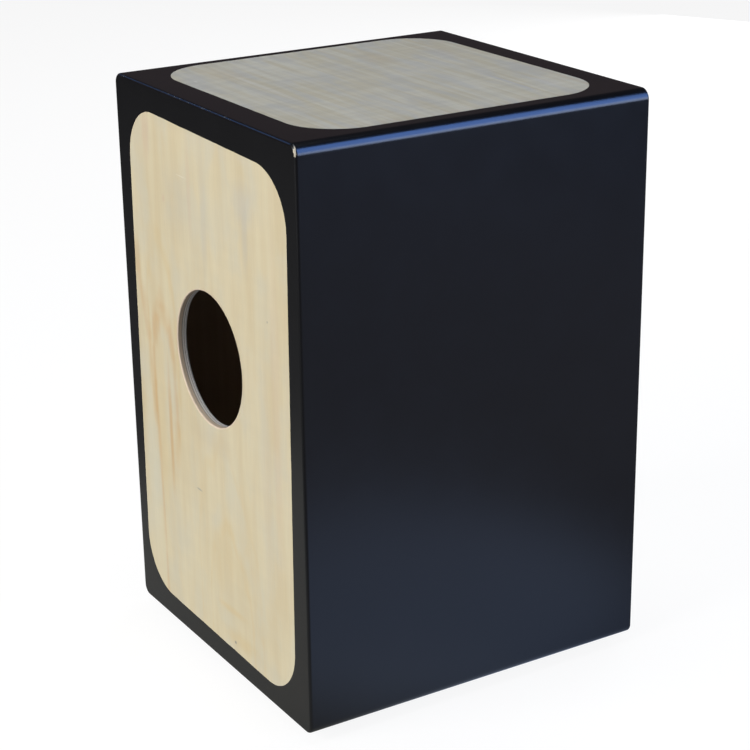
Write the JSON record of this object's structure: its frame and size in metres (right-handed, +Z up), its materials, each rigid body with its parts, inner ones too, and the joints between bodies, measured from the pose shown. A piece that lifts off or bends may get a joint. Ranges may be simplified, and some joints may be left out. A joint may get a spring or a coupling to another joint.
{
  "type": "cajon",
  "caption": "Box drum to sit on: a black lacquered plywood box with clear-coated panels, a sound hole in the back, snare strings behind the front and rubber feet.",
  "frame": {"origin": "on the floor, below the middle of the box", "axes": "+Z up; -Y towards the playing face (tapa), +Y towards the sound hole; +X to the right of someone facing the tapa"},
  "size_m": [0.305, 0.32, 0.488],
  "materials": {
    "black_lacquer": "satin black lacquer on plywood",
    "clear_plywood": "satin clear coat on pale plywood, with a satin black lacquered border",
    "raw_pine": "raw sawn pine",
    "black_rubber": "matt moulded rubber",
    "black_screw": "black oxide",
    "zinc_steel": "zinc plated",
    "string_steel": "plain steel wire"
  },
  "bodies": {
    "box": {"seat_board": "clear_plywood", "back_panel": "clear_plywood", "tapa": "clear_plywood", "base_board": "black_lacquer", "left_side_board": "black_lacquer", "right_side_board": "black_lacquer", "glue_block_top_left": "raw_pine", "glue_block_top_right": "raw_pine", "glue_block_bottom_left": "raw_pine", "glue_block_bottom_right": "raw_pine", "foot_front_left": "black_rubber", "foot_front_right": "black_rubber", "foot_back_left": "black_rubber", "foot_back_right": "black_rubber", "tapa_screw_01": "black_screw", "tapa_screw_02": "black_screw", "tapa_screw_03": "black_screw", "tapa_screw_04": "black_screw", "tapa_screw_05": "black_screw", "tapa_screw_06": "black_screw", "tapa_screw_07": "black_screw", "tapa_screw_08": "black_screw", "tapa_screw_09": "black_screw", "tapa_screw_10": "black_screw", "tapa_screw_11": "black_screw", "tapa_screw_12": "black_screw", "tapa_screw_13": "black_screw", "tapa_screw_14": "black_screw", "tapa_screw_15": "black_screw", "tapa_screw_16": "black_screw", "foot_washer_front_left": "zinc_steel", "foot_washer_front_right": "zinc_steel", "foot_washer_back_left": "zinc_steel", "foot_washer_back_right": "zinc_steel", "foot_screw_front_left": "zinc_steel", "foot_screw_front_right": "zinc_steel", "foot_screw_back_left": "zinc_steel", "foot_screw_back_right": "zinc_steel", "anchor_screw_left": "zinc_steel", "anchor_screw_right": "zinc_steel", "bracket_screw_left_outer": "zinc_steel", "bracket_screw_left_inner": "zinc_steel", "bracket_screw_right_inner": "zinc_steel", "bracket_screw_right_outer": "zinc_steel", "string_anchor": "zinc_steel", "tuner_bracket_left": "zinc_steel", "tuner_bracket_right": "zinc_steel", "bolt_washer_left": "zinc_steel", "bolt_washer_right": "zinc_steel", "snare_string_1": "string_steel", "snare_string_2": "string_steel", "snare_string_3": "string_steel", "snare_string_4": "string_steel"},
    "left_bolt": {"tuning_bolt_left": "zinc_steel"},
    "right_bolt": {"tuning_bolt_right": "zinc_steel"},
    "left_carrier": {"string_carrier_left": "zinc_steel"},
    "right_carrier": {"string_carrier_right": "zinc_steel"}
  },
  "joints": [
    {"name": "left_bolt_turn", "type": "hinge", "parent": "box", "child": "left_bolt", "pos_m": [-0.048, -0.145, 0.03], "axis": [0, 0, 1], "range_deg": [-720, 1440]},
    {"name": "left_carrier_slide", "type": "slide", "parent": "box", "child": "left_carrier", "axis": [0, 0, -1], "range_m": [-0.002, 0.004], "deforming": ["snare_string_1", "snare_string_2"]},
    {"name": "right_bolt_turn", "type": "hinge", "parent": "box", "child": "right_bolt", "pos_m": [0.048, -0.145, 0.03], "axis": [0, 0, 1], "range_deg": [-720, 1440]},
    {"name": "right_carrier_slide", "type": "slide", "parent": "box", "child": "right_carrier", "axis": [0, 0, -1], "range_m": [-0.002, 0.004], "deforming": ["snare_string_3", "snare_string_4"]}
  ],
  "couplings": [
    {"joint": "left_bolt_turn", "follows": "left_carrier_slide", "rad_per_m": 6283},
    {"joint": "right_bolt_turn", "follows": "right_carrier_slide", "rad_per_m": 6283}
  ]
}
